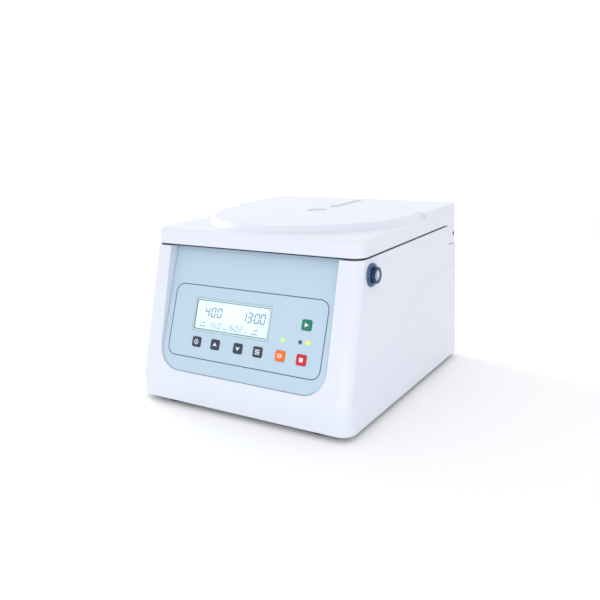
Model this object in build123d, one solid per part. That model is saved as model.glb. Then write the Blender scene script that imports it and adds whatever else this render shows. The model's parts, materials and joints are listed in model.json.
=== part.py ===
from build123d import *
import os
from math import atan, cos, degrees, radians, sin, tan

# A bench-top laboratory centrifuge: moulded base, hinged lid, front control panel,
# steel bowl and a six-place angle rotor on a rubber-mounted motor.
# +X is the operator's right, -Y is the front, +Z is up. Heights below are measured from
# the underside of the base moulding; save() lifts everything by the height of the feet,
# so that the written parts stand on z = 0 with the origin under the middle of the base.

os.makedirs("parts", exist_ok=True)

# ---------------------------------------------------------------- driving dimensions (mm)
FOOT_H = 6.5

WIDTH = 300.0          # base at the bottom
DEPTH = 336.0
BASE_TOP = 185.0       # top rim of the base
SIDE_DRAFT = 3.5       # each side leans in by this much over the base's height
RELIEF = 1.5           # depth of the sunk area on each side
RELIEF_LOW = 35.0      # the sunk area's lower edge: this high at the front,
RELIEF_HIGH = 128.5    # this high at the back, with a long slope between two bends
RELIEF_BENDS = [(-118.7, RELIEF_LOW), (58.4, RELIEF_HIGH)]
RELIEF_BEND_R = 200.0
PLINTH = 31.0          # height of the upright strip along the bottom of the front
LEAN = 15.2            # degrees, slope of the front above the plinth
CREASE_R = 40.0        # soft bend between plinth and slope
FRONT_R = 16.0         # upright corners at the front
REAR_R = 12.0          # upright corners at the back
RELIEF_SLOPE = 50.0     # degrees, lean of the step around the sunk area
RIM_R = 1.2            # rounding of the front opening, top rim and underside
WALL = 3.0
DECK = 4.0             # thickness of the base's top

SEAM = 2.0             # gap between base and lid
LID_W = 290.0
LID_FRONT = -124.0
LID_BACK = 168.0
LID_LOW = 206.0        # top of the lid in front of the raised part
LID_TOP = 213.6         # top of the raised part
LID_CEILING = 208.5    # underside of the raised part's skin
LID_FRONT_R = 15.0
LID_REAR_R = 12.0
LID_EDGE_R = 3.5
RAISED_R = 134.5       # radius of the raised part's round front at the top
RAISED_SLOPE = 12.5    # how far its front spreads on the way down
NOTCH_Y = 58.0         # behind this the raised part is as wide as the lid
LINER_Z = 188.0        # underside of the lid's inner plate
LINER_T = 1.5
RIB_W = 14.0           # raised rib behind the port
RIB_H = 1.8             # its crest, above the raised part
RIB_Y = (72.0, 152.0)

PANEL_W = 236.0        # control panel
PANEL_Y = -164.2       # where its lower edge meets the front
PANEL_Z = 39.0
PANEL_LEAN = 19.83     # degrees from the vertical
PANEL_T = 3.0
PANEL_CORNER = 30.0
PANEL_GAP = 0.6
LEDGE = 6.0            # width of the ledge that the panel rests on

AXIS_Y = 33.0          # rotor axis, below the port and the middle of the round front
BOWL_R = 105.0
BOWL_FLOOR = 84.0
BOWL_T = 1.2
BOWL_FLANGE = 112.5
BOWL_CORNER = 20.0
NECK_R = 20.0

PIN_Y = 155.3          # lid hinge
PIN_Z = 172.0
PIN_R = 3.0
EAR_R = 12.2           # rounded bottom of the lid's ears
EAR_X = 133.5          # inner face of an ear
CLEAR = 1.0            # room around the ears

LOCK_Y = -102.0        # lid lock on the right side
LOCK_Z = 166.6
LOCK_SEAT = 144.9
LOCK_R = 9.2
LOCK_FACE = 153.0      # outer end of the knob
STRIKER_Y = LOCK_Y + 8.0

PORT_R = 14.5           # round port in the lid, over the rotor
PORT_WINDOW_R = 12.2

# rotor
ROTOR_FLOOR = 89.0
ROTOR_R = 97.0
TUBES = 6
TUBE_TILT = 38.0       # degrees from the vertical
TUBE_RING = 40.0       # radius at which the pockets meet the dished top
TUBE_MOUTH_Z = 153.0
POCKET_R = 10.0
POCKET_DEPTH = 68.0
SLEEVE_BORE = 8.7
SHAFT_R = 6.0

# key centres on the panel (x, height up the panel)
KEY_W = 12.6
KEY_H = 11.8
KEYS = {
    "key_set": (-65.8, 38.4),
    "key_up": (-37.7, 38.4),
    "key_down": (-4.3, 38.4),
    "key_mode": (23.7, 38.4),
    "key_pulse": (54.5, 38.4),
    "key_stop": (82.5, 38.0),
    "key_start": (83.1, 77.0),
}
KEY_PROUD = 0.8
KEY_GAP = 0.35
LEDS = {"led_ready": (54.7, 56.9), "led_run": (77.8, 57.2), "led_lid": (87.5, 57.8)}
LED_R = 2.4
LCD_X = (-76.0, 35.0)
LCD_S = (52.0, 92.0)
BOARD_N = -10.4        # front face of the control board, behind the panel's face
BOARD_T = 1.6
BOARD_HOLES = [(-97, 24), (99, 24), (-97, 106), (99, 106)]

FEET = [(-104, -144), (104, -144), (-104, 144), (104, 144)]
FOOT_R = 16.0
BASE_SCREWS = [(x, y) for x in (-140, 140) for y in (-110, 0, 105)]
LINER_SCREWS = [(-122, -98), (0, -110), (122, -70), (-128, 20), (128, 20), (-122, 118), (122, 118)]

BACK_X = 110.0         # opening in the back for the rear panel
BACK_Z = (22.0, 120.0)
BACK_SCREWS = [(x, z) for x in (-107, 107) for z in (26, 71, 116)]
INLET_X = (-100.0, -40.0)
INLET_Z = (40.0, 90.0)
SOCKET = (-80.0, 57.0)
SOCKET_SIZE = (24.3, 16.5)
SOCKET_DEPTH = 16.8
DRAWER = (-80.0, 77.0)
DRAWER_SIZE = (20.0, 8.0)
ROCKER = (-54.0, 62.0)
ROCKER_PIVOT_Y = 161.0
ROCKER_TILT = 10.0

MOTOR_R = 46.0
MOTOR_Z = (12.0, 70.0)
POST_OFFSET = 62.0
POST_TOP = 58.0

PANEL = Plane(
    origin=(0, PANEL_Y, PANEL_Z),
    x_dir=(1, 0, 0),
    z_dir=(0, -cos(radians(PANEL_LEAN)), sin(radians(PANEL_LEAN))),
)
PANEL_BACK_Y = PANEL_Y + (BASE_TOP - PANEL_Z) * tan(radians(PANEL_LEAN))
PANEL_TOP = (BASE_TOP - 0.5 - PANEL_Z) / cos(radians(PANEL_LEAN))


# ---------------------------------------------------------------- helpers
def save(name, shape):
    """Write one part, lifted to its place above the floor."""
    part = Pos(0, 0, FOOT_H) * shape
    solids = part.solids()
    result = solids[0] if len(solids) == 1 else Compound(children=list(solids))
    export_step(result, f"parts/{name}.step")


def block(x, y, z):
    """A box given by its (low, high) ranges."""
    size = (x[1] - x[0], y[1] - y[0], z[1] - z[0])
    centre = ((x[0] + x[1]) / 2, (y[0] + y[1]) / 2, (z[0] + z[1]) / 2)
    return Pos(*centre) * Box(*size)


def post(x, y, z, r, hole=0.0):
    """An upright cylinder or tube between the heights z[0] and z[1]."""
    height = z[1] - z[0]
    body = Pos(x, y, (z[0] + z[1]) / 2) * Cylinder(r, height)
    if hole:
        body -= Pos(x, y, (z[0] + z[1]) / 2) * Cylinder(hole, height)
    return body


def rod_x(y, z, x, r, hole=0.0):
    """A cylinder or tube along X between x[0] and x[1]."""
    length = x[1] - x[0]
    place = Pos((x[0] + x[1]) / 2, y, z) * Rot(0, 90, 0)
    body = place * Cylinder(r, length)
    if hole:
        body -= place * Cylinder(hole, length)
    return body


def rod_y(x, z, y, r):
    """A cylinder along Y between y[0] and y[1]."""
    return Pos(x, (y[0] + y[1]) / 2, z) * Rot(90, 0, 0) * Cylinder(r, y[1] - y[0])


def prism_x(points, x):
    """A (y, z) outline drawn out along X between x[0] and x[1]."""
    face = Plane.YZ * make_face(Polyline(*points, close=True))
    return Pos(x[0], 0, 0) * extrude(face, amount=x[1] - x[0])


def mirrored(shape):
    """The same shape on the other side of the machine."""
    return mirror(shape, about=Plane.YZ)


def on_panel(sketch, x, s, low, high):
    """Draw a sketch out of the panel between two heights over its face."""
    return PANEL.location * Pos(x, s, low) * extrude(sketch, amount=high - low)


def spun(points):
    """Turn an (r, z) outline about the rotor axis."""
    face = Plane.XZ * make_face(Polyline(*points, close=True))
    return Pos(0, AXIS_Y, 0) * revolve(face, axis=Axis.Z)


def screw(head_r, head_h, shank_r, shank_l):
    """A pan-head screw with a cross recess: seat at the origin, head up."""
    body = post(0, 0, (0, head_h), head_r)
    body = soften(body, body.edges().group_by(Axis.Z)[-1], head_h * 0.4)
    for turn in (0, 90):
        body -= Pos(0, 0, head_h) * Rot(0, 0, turn) * Box(head_r * 1.2, head_r * 0.26, head_h * 1.2)
    return body + post(0, 0, (-shank_l, 0), shank_r)


def soften(shape, edges, radius):
    """Round edges, or leave the shape as it was if they can't take the radius."""
    try:
        rounded = fillet(edges, radius)
        return rounded if rounded.is_valid else shape
    except Exception:
        print("edges left sharp, radius", radius)
        return shape


# ---------------------------------------------------------------- base moulding
def base_form(inset):
    """The base's outer body, drawn in by inset all round, up to the top rim."""
    back = DEPTH / 2 - inset
    slope_y = -back + (BASE_TOP - PLINTH) * tan(radians(LEAN))
    outline = Polyline(
        (-back, 0), (-back, PLINTH), (slope_y, BASE_TOP), (back, BASE_TOP), (back, 0), close=True
    )
    face = make_face(outline)
    bend = [v for v in face.vertices() if abs(v.Y - PLINTH) < 0.1]
    side = Plane.YZ * fillet(bend, CREASE_R)
    low = WIDTH / 2 - inset
    high = low - SIDE_DRAFT
    front = make_face(Polyline((-low, 0), (low, 0), (high, BASE_TOP), (-high, BASE_TOP), close=True))
    body = extrude(side, amount=WIDTH / 2, both=True) & extrude(Plane.XZ * front, amount=DEPTH, both=True)

    def upright(edge, front_side):
        box = edge.bounding_box()
        at_corner = abs(edge.center().X) > high - 1
        return at_corner and box.size.Z > 3 and (edge.center().Y < 0) == front_side

    body = fillet([e for e in body.edges() if upright(e, True)], FRONT_R - inset)
    return fillet([e for e in body.edges() if upright(e, False)], REAR_R - inset)


def relief_cutter():
    """The sunk area of one side: everything above a long S-shaped line, with a sloping step."""
    reach = DEPTH / 2 + 30
    top = BASE_TOP + 20
    outline = Polyline(
        (reach, RELIEF_HIGH), RELIEF_BENDS[1], RELIEF_BENDS[0], (-reach, RELIEF_LOW), (-reach, top), (reach, top),
        close=True)
    face = make_face(outline)
    bends = [v for v in face.vertices() if abs(v.X) < DEPTH / 2]
    face = Plane.YZ * fillet(bends, RELIEF_BEND_R)
    lean = Rot(0, -degrees(atan(SIDE_DRAFT / BASE_TOP)), 0)
    return Pos(WIDTH / 2 - RELIEF, 0, 0) * lean * extrude(face, amount=3, taper=-RELIEF_SLOPE)


def panel_outline(grow, top=185.0):
    """The control panel's outline, round at its lower corners and open at the top."""
    half = PANEL_W / 2 + grow
    face = make_face(Polyline((-half, -grow), (half, -grow), (half, top), (-half, top), close=True))
    corners = [v for v in face.vertices() if v.Y < top / 2]
    return fillet(corners, PANEL_CORNER + grow)


def ear_outline(grow, drop):
    """An ear of the lid seen from the side, grown to cut the room for it."""
    front_top = (130.0 - grow, BASE_TOP + 5)
    front_low = (138.8 - grow, PIN_Z - EAR_R - drop)
    return front_top, front_low


def panel_frame():
    """Side walls of the front opening and the ledge behind the panel."""
    return on_panel(panel_outline(WALL), 0, 0, -PANEL_T - WALL, 40)


def shell_insides():
    """What stands inside the hollow base: frames, ear pockets and screw bosses."""
    rear_ledge = block((-BACK_X - LEDGE, BACK_X + LEDGE), (DEPTH / 2 - 2 * WALL, DEPTH / 2 - WALL),
                       (BACK_Z[0] - LEDGE, BACK_Z[1] + LEDGE))
    rear_beam = block((-124, 124), (158, 168), (170, BASE_TOP))
    pocket = block((130, 150), (126, DEPTH / 2), (PIN_Z - EAR_R - CLEAR - WALL, BASE_TOP))
    insides = panel_frame() + rear_ledge + rear_beam + pocket + mirrored(pocket)
    for x, y in BASE_SCREWS:
        side = 1 if x > 0 else -1
        insides += post(x, y, (2, 26), 6)
        insides += block(sorted((x, x + side * 8)), (y - 3, y + 3), (2, 26))
    return insides


def base_block():
    """The outside of the base as one solid block, with its sunk sides and front opening."""
    body = base_form(0)
    sunk = relief_cutter()
    body -= sunk + mirrored(sunk)
    body -= on_panel(panel_outline(0), 0, 0, 0, 60)
    rims = [e for e in body.edges() if on_rim(e)]
    body = soften(body, rims, RIM_R)
    return body


def on_rim(edge):
    """Is this an edge of the front opening, the top rim or the underside?"""
    centre = edge.center()
    box = edge.bounding_box()
    level = box.size.Z < 0.01
    if level and (centre.Z < 0.01 or centre.Z > BASE_TOP - 0.01):
        return abs(centre.Y - PANEL_BACK_Y) > 2
    local = PANEL.to_local_coords(centre)
    in_opening = abs(local.X) < PANEL_W / 2 + 0.01 and local.Y > -0.5
    return in_opening and local.Z > 0.2 and edge.length > 20 and centre.Y < -100


def base_shell():
    inner = base_form(WALL) & block((-200, 200), (-200, 200), (-1, BASE_TOP - DECK))
    body = base_block() - (inner - shell_insides())
    body -= on_panel(panel_outline(0), 0, 0, -PANEL_T, 0.01)
    body -= on_panel(panel_outline(-LEDGE), 0, 0, -PANEL_T - 2 * WALL, 1)

    # room for the bowl, the lid's ears and the swing of the lid's back edge
    body -= post(0, AXIS_Y, (BASE_TOP - DECK - 1, BASE_TOP + 1), BOWL_R)
    body -= post(0, AXIS_Y, (BASE_TOP - BOWL_T, BASE_TOP + 1), BOWL_FLANGE)
    top, low = ear_outline(CLEAR, CLEAR)
    notch = prism_x([top, low, (180, low[1]), (180, top[1])], (EAR_X - CLEAR, 160))
    body -= notch + mirrored(notch)
    swing = SEAM + BASE_TOP - PIN_Z - 0.6
    back_edge = block((-140, 140), (PIN_Y, 180), (PIN_Z, BASE_TOP + 5))
    body -= back_edge - rod_x(PIN_Y, PIN_Z, (-140, 140), swing)

    # rear opening and screw holes
    body -= block((-BACK_X, BACK_X), (DEPTH / 2 - WALL, DEPTH / 2 + 1), BACK_Z)
    body -= block((-BACK_X + LEDGE, BACK_X - LEDGE), (DEPTH / 2 - 9, DEPTH / 2), (BACK_Z[0] + LEDGE, BACK_Z[1] - LEDGE))
    for x, z in BACK_SCREWS:
        body -= rod_y(x, z, (150, 170), 1.5)
    for x, y in BASE_SCREWS:
        body -= post(x, y, (0, 18), 1.6)

    # hinge pins, lock and striker slot
    pin = rod_x(PIN_Y, PIN_Z, (120, 150), PIN_R)
    body -= pin + mirrored(pin)
    body -= rod_x(LOCK_Y, LOCK_Z, (LOCK_SEAT, 160), 13.6)
    body -= rod_x(LOCK_Y, LOCK_Z, (125, 160), 11)
    slot = block((122.5, 137.5), (STRIKER_Y - 3, STRIKER_Y + 8), (BASE_TOP - DECK - 1, BASE_TOP + 1))
    return body - slot


def base_plate():
    plate = base_form(WALL + 0.4) & block((-200, 200), (-200, 200), (0, 2))
    for x, y in BASE_SCREWS:
        plate -= post(x, y, (-1, 3), 1.6)
    for x, y in FEET:
        plate -= post(x, y, (-1, 3), 2.5)
    for x, y in post_places():
        plate -= post(x, y, (-1, 3), 2.0)
    for i in range(-4, 5):
        for y in (-40, 100):
            plate -= Pos(i * 14, y, 1) * extrude(SlotOverall(60, 5, rotation=90), amount=4, both=True)
    return plate


def foot(x, y):
    """A domed rubber foot with a screw well underneath."""
    profile = make_face(Polyline(
        (2.5, 0), (FOOT_R, 0), (FOOT_R, -3.5), (FOOT_R - 2, -FOOT_H), (6, -FOOT_H), (6, -3), (2.5, -3), close=True))
    return Pos(x, y, 0) * revolve(Plane.XZ * profile, axis=Axis.Z)


def case_screws():
    """Screws of the base plate, feet, motor posts and rear panel."""
    down = Rot(180, 0, 0)
    back = Rot(-90, 0, 0)
    group = Part()
    for x, y in BASE_SCREWS:
        group += Pos(x, y, 0) * down * screw(3.2, 1.6, 1.6, 16)
    for x, y in FEET:
        group += Pos(x, y, -3) * down * screw(4.5, 2.0, 2.5, 8)
    for x, y in post_places():
        group += Pos(x, y, 0) * down * screw(3.2, 1.6, 2.0, 12)
    for x, z in BACK_SCREWS:
        group += Pos(x, DEPTH / 2 - WALL + 1.5, z) * back * screw(2.8, 1.4, 1.5, 4)
    return group


# ---------------------------------------------------------------- front panel
def front_panel():
    outline = panel_outline(-PANEL_GAP, top=PANEL_TOP)
    body = on_panel(outline, 0, 0, -PANEL_T, 0)
    lcd_w = LCD_X[1] - LCD_X[0]
    lcd_h = LCD_S[1] - LCD_S[0]
    lcd_c = (sum(LCD_X) / 2, sum(LCD_S) / 2)
    body -= on_panel(RectangleRounded(lcd_w, lcd_h, 1.5), *lcd_c, -1.6, 1)
    body -= on_panel(Rectangle(lcd_w - 6, lcd_h - 6), *lcd_c, -PANEL_T - 1, 1)
    for x, s in KEYS.values():
        body -= on_panel(RectangleRounded(KEY_W + 2 * KEY_GAP, KEY_H + 2 * KEY_GAP, 2.2), x, s, -PANEL_T - 1, 1)
    for x, s in LEDS.values():
        body -= on_panel(Circle(LED_R), x, s, -PANEL_T - 1, 1)
    for x, s in BOARD_HOLES:
        body += on_panel(Circle(3.5), x, s, BOARD_N, -PANEL_T)
        body -= on_panel(Circle(1.3), x, s, BOARD_N - 1, -PANEL_T)
    return body


def key(x, s):
    """A sprung key cap with a flange that stops it behind the panel."""
    cap = on_panel(RectangleRounded(KEY_W, KEY_H, 2), x, s, -6, KEY_PROUD)
    top = cap.edges().filter_by(lambda e: abs(PANEL.to_local_coords(e.center()).Z - KEY_PROUD) < 0.01)
    cap = soften(cap, top, 0.4)
    return cap + on_panel(RectangleRounded(KEY_W + 3, KEY_H + 3, 2), x, s, -5, -PANEL_T - 0.1)


def led(x, s):
    return on_panel(Circle(LED_R), x, s, BOARD_N, 0.3)


def lcd_window():
    w = LCD_X[1] - LCD_X[0]
    h = LCD_S[1] - LCD_S[0]
    return on_panel(RectangleRounded(w, h, 1.5), sum(LCD_X) / 2, sum(LCD_S) / 2, -1.6, 0.2)


def lcd_module():
    w = LCD_X[1] - LCD_X[0] - 6
    h = LCD_S[1] - LCD_S[0] - 6
    return on_panel(Rectangle(w, h), sum(LCD_X) / 2, sum(LCD_S) / 2, -8.5, -1.6)


def control_board():
    """Circuit board with a push switch behind each key."""
    board = on_panel(Rectangle(206, 92), 1, 65, BOARD_N - BOARD_T, BOARD_N)
    for x, s in BOARD_HOLES:
        board -= on_panel(Circle(1.3), x, s, BOARD_N - 3, BOARD_N + 1)
    for x, s in KEYS.values():
        board += on_panel(Rectangle(6, 6), x, s, BOARD_N, BOARD_N + 2.6)
        board += on_panel(Circle(1.7), x, s, BOARD_N + 2.6, BOARD_N + 3.4)
    return board


def board_screws():
    group = Part()
    for x, s in BOARD_HOLES:
        group += PANEL.location * Pos(x, s, BOARD_N - BOARD_T) * Rot(180, 0, 0) * screw(3, 2, 1.3, 8)
    return group


# ---------------------------------------------------------------- drive
def post_places():
    return [(dx, AXIS_Y + dy) for dx in (-POST_OFFSET, POST_OFFSET) for dy in (-POST_OFFSET, POST_OFFSET)]


def chamber_bowl():
    outer = post(0, AXIS_Y, (BOWL_FLOOR, BASE_TOP), BOWL_R)
    outer = fillet(outer.edges().group_by(Axis.Z)[0], BOWL_CORNER + BOWL_T)
    inner = post(0, AXIS_Y, (BOWL_FLOOR + BOWL_T, BASE_TOP + 5), BOWL_R - BOWL_T)
    inner = fillet(inner.edges().group_by(Axis.Z)[0], BOWL_CORNER)
    flange = post(0, AXIS_Y, (BASE_TOP - BOWL_T, BASE_TOP), BOWL_FLANGE)
    neck = post(0, AXIS_Y, (BOWL_FLOOR, BOWL_FLOOR + 12), NECK_R + BOWL_T)
    return outer + flange - inner + neck - post(0, AXIS_Y, (0, BOWL_FLOOR + 20), NECK_R)


def chamber_gasket():
    ring = post(0, AXIS_Y, (BASE_TOP, LINER_Z - 0.4), BOWL_FLANGE - 2, BOWL_R)
    return soften(ring, ring.edges().group_by(Axis.Z)[-1], 1.0)


def motor_plate():
    plate = Pos(0, AXIS_Y, 71.5) * extrude(RectangleRounded(150, 150, 16), amount=1.5, both=True)
    plate -= post(0, AXIS_Y, (60, 80), 15)
    for x, y in post_places():
        plate -= post(x, y, (60, 80), 4)
    return plate


def motor_posts():
    group = Part()
    for x, y in post_places():
        group += post(x, y, (2, POST_TOP), 9, 2.0)
    return group


def rubber_dampers():
    group = Part()
    for x, y in post_places():
        waist = Pos(x, y, 64) * Torus(11.5, 3.2)
        group += post(x, y, (POST_TOP, 70), 10) - waist
        group += post(x, y, (70, 76), 4) + post(x, y, (73, 77), 8)
    return group


def motor_housing():
    can = post(0, AXIS_Y, MOTOR_Z, MOTOR_R)
    can = fillet(can.edges().group_by(Axis.Z)[0], 5)
    can -= post(0, AXIS_Y, (22, 60), MOTOR_R - 4)
    can -= post(0, AXIS_Y, (60, 71), 14)
    return can - post(0, AXIS_Y, (15, 22), 14)


def motor_stator():
    ring = post(0, AXIS_Y, (24, 58), MOTOR_R - 4, 30)
    for i in range(12):
        slot = Pos(0, AXIS_Y, 41) * Rot(0, 0, 30 * i) * Pos(31, 0, 0) * Box(10, 3, 40)
        ring -= slot
    return ring


def motor_magnets():
    return post(0, AXIS_Y, (26, 56), 25, SHAFT_R)


def motor_bearings():
    low = post(0, AXIS_Y, (15, 22), 14, SHAFT_R + 0.05)
    return low + post(0, AXIS_Y, (61, 70), 14, SHAFT_R + 0.05)


def drive_shaft():
    return post(0, AXIS_Y, (16, 150), SHAFT_R)


def pocket_place(i, depth):
    """A point on the axis of pocket i, the given distance down from its mouth."""
    tilt = radians(TUBE_TILT)
    r = TUBE_RING + depth * sin(tilt)
    z = TUBE_MOUTH_Z - depth * cos(tilt)
    return Pos(0, AXIS_Y, 0) * Rot(0, 0, 360 / TUBES * i) * Pos(r, 0, z) * Rot(0, -TUBE_TILT, 0)


def pocket_rod(i, high, low, r):
    """A rod along pocket i, from `high` above the mouth to `low` below it."""
    return pocket_place(i, (low - high) / 2) * Cylinder(r, high + low)


def rotor_head():
    tilt = radians(TUBE_TILT)
    wall = POCKET_R + 4
    ridge_r = TUBE_RING + wall * cos(tilt)
    ridge_z = TUBE_MOUTH_Z + wall * sin(tilt)
    rim_z = ridge_z - (ROTOR_R - ridge_r) / tan(tilt)
    dish_r = 22.0
    dish_z = TUBE_MOUTH_Z - (TUBE_RING - dish_r) * tan(tilt)
    body = spun([
        (0, 104), (30, 104), (34, ROTOR_FLOOR), (ROTOR_R - 4, ROTOR_FLOOR), (ROTOR_R, ROTOR_FLOOR + 4),
        (ROTOR_R, rim_z), (ridge_r, ridge_z), (dish_r, dish_z), (0, dish_z),
    ])
    for i in range(TUBES):
        body -= pocket_rod(i, 0, POCKET_DEPTH, POCKET_R)
        body -= pocket_rod(i, 20, 0, 13)
    return body - post(0, AXIS_Y, (90, 150), SHAFT_R)


def tube_sleeves():
    """Plastic sleeves with a flange, one in each pocket."""
    group = Part()
    for i in range(TUBES):
        sleeve = pocket_rod(i, 0, POCKET_DEPTH - 0.2, POCKET_R - 0.1)
        sleeve += pocket_rod(i, 1.8, 0, 12.4)
        group += sleeve - pocket_rod(i, 5, POCKET_DEPTH - 3, SLEEVE_BORE)
    return group


def rotor_nut():
    dish_z = TUBE_MOUTH_Z - (TUBE_RING - 22) * tan(radians(TUBE_TILT))
    nut = post(0, AXIS_Y, (dish_z, dish_z + 17), 11.5)
    for i in range(16):
        nut -= Pos(0, AXIS_Y, dish_z + 9) * Rot(0, 0, 22.5 * i) * Pos(12.3, 0, 0) * Cylinder(1.5, 22)
    nut -= post(0, AXIS_Y, (dish_z - 1, 150), SHAFT_R)
    return nut - Pos(0, AXIS_Y, dish_z + 15) * extrude(RegularPolygon(5, 6), amount=4, both=True)


# ---------------------------------------------------------------- power supply
def power_board():
    board = block((-100, 100), (-140, -58), (10, 11.6))
    for x in (-92, 92):
        for y in (-132, -66):
            board += post(x, y, (2, 10), 4)
    return board


def power_components():
    """Capacitors, transformer, relay and finned heat sink on the power board."""
    group = post(-70, -112, (11.6, 46), 12) + post(-40, -112, (11.6, 46), 12)
    group += block((-15, 30), (-128, -88), (11.6, 44)) + block((-85, -50), (-90, -72), (11.6, 28))
    group += block((42, 60), (-84, -70), (11.6, 27)) + block((44, 92), (-132, -94), (11.6, 15))
    for i in range(7):
        group += block((44.5 + 7.4 * i, 46.5 + 7.4 * i), (-132, -94), (15, 42))
    return group


def rear_panel():
    y = (DEPTH / 2 - WALL, DEPTH / 2 - WALL + 1.5)
    panel = block((-BACK_X + 0.4, BACK_X - 0.4), y, (BACK_Z[0] + 0.4, BACK_Z[1] - 0.4))
    for x, z in BACK_SCREWS:
        panel -= rod_y(x, z, (150, 170), 1.5)
    panel -= block((INLET_X[0] + 4, INLET_X[1] - 4), (150, 170), (INLET_Z[0] + 4, INLET_Z[1] - 4))
    slot = Rot(90, 0, 0) * extrude(SlotOverall(62, 4), amount=12, both=True)
    for i in range(9):
        panel -= Pos(50, 165, 32 + 9.5 * i) * slot
    return panel


def inlet_module():
    """Power inlet with fuse drawer slot and switch window in one moulding."""
    outer = DEPTH / 2
    seat = outer - 1.5
    body = block(INLET_X, (seat, outer), INLET_Z)
    body = fillet(body.edges().filter_by(Axis.Y), 2)
    body += block((INLET_X[0] + 4, INLET_X[1] - 4), (140, seat), (INLET_Z[0] + 4, INLET_Z[1] - 4))
    w, h = SOCKET_SIZE
    x, z = SOCKET
    recess = block((x - w / 2, x + w / 2), (outer - SOCKET_DEPTH, outer + 1), (z - h / 2, z + h / 2))
    recess = chamfer(recess.edges().filter_by(Axis.Y).group_by(Axis.Z)[-1], 4)
    body -= recess
    w, h = DRAWER_SIZE
    x, z = DRAWER
    body -= block((x - w / 2 - 0.4, x + w / 2 + 0.4), (outer - 22, outer + 1), (z - h / 2 - 0.4, z + h / 2 + 0.4))
    x, z = ROCKER
    body -= block((x - 6, x + 6), (146, outer + 1), (z - 11.8, z + 11.8))
    return body - rod_x(ROCKER_PIVOT_Y, z, (x - 8, x + 8), 1.55)


def inlet_pins():
    x, z = SOCKET
    y = (DEPTH / 2 - SOCKET_DEPTH, DEPTH / 2 - 4.4)
    group = block((x - 1, x + 1), y, (z + 1, z + 5))
    for dx in (-7, 7):
        group += block((x + dx - 1, x + dx + 1), y, (z - 5, z - 1))
    return group


def fuse_drawer():
    w, h = DRAWER_SIZE
    x, z = DRAWER
    outer = DEPTH / 2
    drawer = block((x - w / 2, x + w / 2), (outer - 21, outer - 0.4), (z - h / 2, z + h / 2))
    drawer -= block((x - w / 2 + 2, x + w / 2 - 2), (outer - 19, outer - 4), (z - h / 2 + 1.5, z + h / 2 + 1))
    return drawer - block((x - 3, x + 3), (outer - 2, outer), (z - 1.2, z + 1.2))


def power_rocker():
    x, z = ROCKER
    outline = [(-5, -6), (5, -10), (3.2, 0), (5, 10), (-5, 6)]
    face = Plane.YZ * make_face(Polyline(*outline, close=True))
    rocker = extrude(face, amount=5.5, both=True)
    rocker += Rot(0, 90, 0) * Cylinder(1.5, 15)
    return Pos(x, ROCKER_PIVOT_Y, z) * Rot(-ROCKER_TILT, 0, 0) * rocker


# ---------------------------------------------------------------- lid
def lid_plan(inset):
    """The lid's outline from above."""
    half = LID_W / 2 - inset
    face = make_face(Polyline(
        (-half, LID_FRONT + inset), (half, LID_FRONT + inset), (half, LID_BACK - inset), (-half, LID_BACK - inset),
        close=True))
    face = fillet([v for v in face.vertices() if v.Y < 0], LID_FRONT_R - inset)
    return fillet([v for v in face.vertices() if v.Y > 100], LID_REAR_R - inset)


def raised_form(inset, low, high, slope):
    """The raised part: a round front that slopes, then full width to the back."""
    top_r = RAISED_R - inset
    plan = Pos(0, 0, low) * extrude(lid_plan(inset), amount=high - low)
    cone = Pos(0, AXIS_Y, (low + high) / 2) * Cone(top_r + slope, top_r, high - low)
    front = block((-200, 200), (-200, NOTCH_Y + 1), (low, high))
    back = block((-200, 200), (NOTCH_Y, 200), (low, high))
    return (plan & cone & front) + (plan & back)


def ear():
    """The lid's right hinge ear, with the bore for its bush."""
    top, low = ear_outline(0, 0)
    reach = PIN_Y + EAR_R
    plan = [top, low, (PIN_Y, low[1]), (PIN_Y, PIN_Z), (reach, PIN_Z), (reach, top[1])]
    body = prism_x(plan, (EAR_X, LID_W / 2)) + rod_x(PIN_Y, PIN_Z, (EAR_X, LID_W / 2), EAR_R)
    corner = body.edges().filter_by(Axis.X).sort_by(lambda e: (e.center() - Vector(0, low[0], low[1])).length)[0]
    body = fillet(corner, 4)
    body += block((EAR_X, LID_W / 2), (131, LID_BACK), (BASE_TOP + 4, LID_LOW - 2))
    return body & Pos(0, 0, 150) * extrude(lid_plan(0), amount=LID_LOW - 150)


def lid_block():
    """The outside of the lid as one solid block with all its rounding."""
    low = BASE_TOP + SEAM
    slab = Pos(0, 0, low) * extrude(lid_plan(0), amount=LID_LOW - low)
    slab = soften(slab, slab.edges().group_by(Axis.Z)[-1], LID_EDGE_R)
    raised = raised_form(0, LID_LOW - LID_EDGE_R - 0.5, LID_TOP, RAISED_SLOPE)
    raised = soften(raised, raised.faces().sort_by(Axis.Z)[-1].edges(), LID_EDGE_R)
    body = slab + raised
    return soften(body, body.edges().group_by(Axis.Z)[0], 1.0)


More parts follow.
